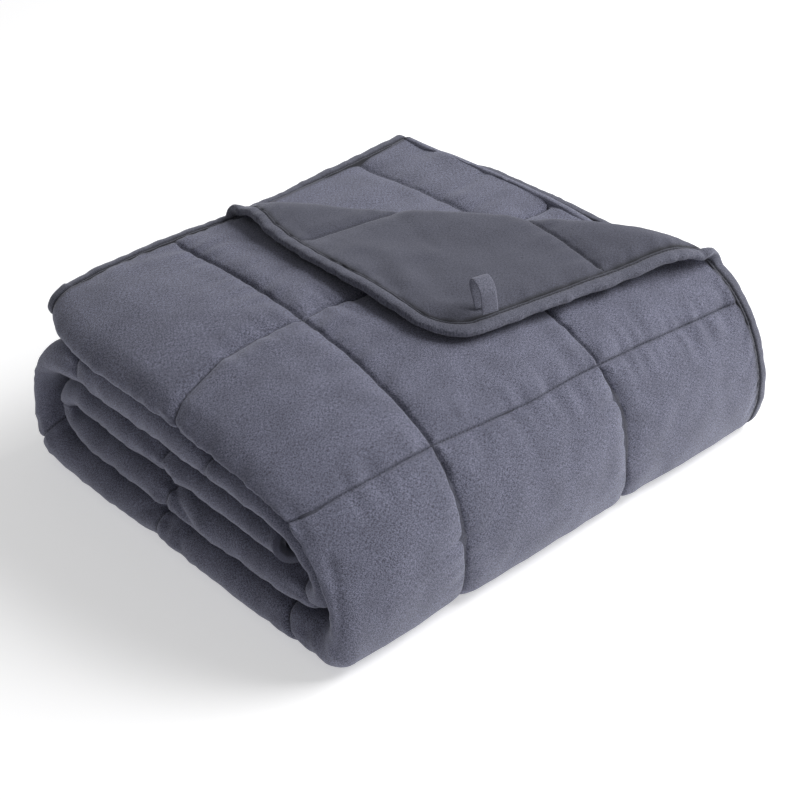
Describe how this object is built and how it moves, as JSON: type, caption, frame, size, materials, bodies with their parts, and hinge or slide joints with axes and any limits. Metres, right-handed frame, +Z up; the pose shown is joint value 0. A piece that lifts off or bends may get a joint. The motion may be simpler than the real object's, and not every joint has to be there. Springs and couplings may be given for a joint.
{
  "type": "weighted blanket",
  "caption": "Quilted weighted blanket folded into a thick flat pile, its bound corner turned back over the top, with a ribbon tie loop standing at that corner.",
  "frame": {"origin": "middle of the base of the folded pile, on the surface it lies on", "axes": "+X along the pile's long side towards the end where the bound edge shows, +Y towards the back, away from the smooth front fold, +Z up"},
  "size_m": [0.4102, 0.3424, 0.1747],
  "materials": {
    "quilted_cloth": "matt brushed slate-grey weave, quilted in squares",
    "binding_cloth": "matt slate-grey woven binding with a stitched edge",
    "loop_ribbon": "matt slate-grey woven ribbon"
  },
  "bodies": {
    "root": {"quilted_body": "quilted_cloth", "edge_binding": "binding_cloth", "tie_loop": "loop_ribbon"}
  },
  "joints": []
}
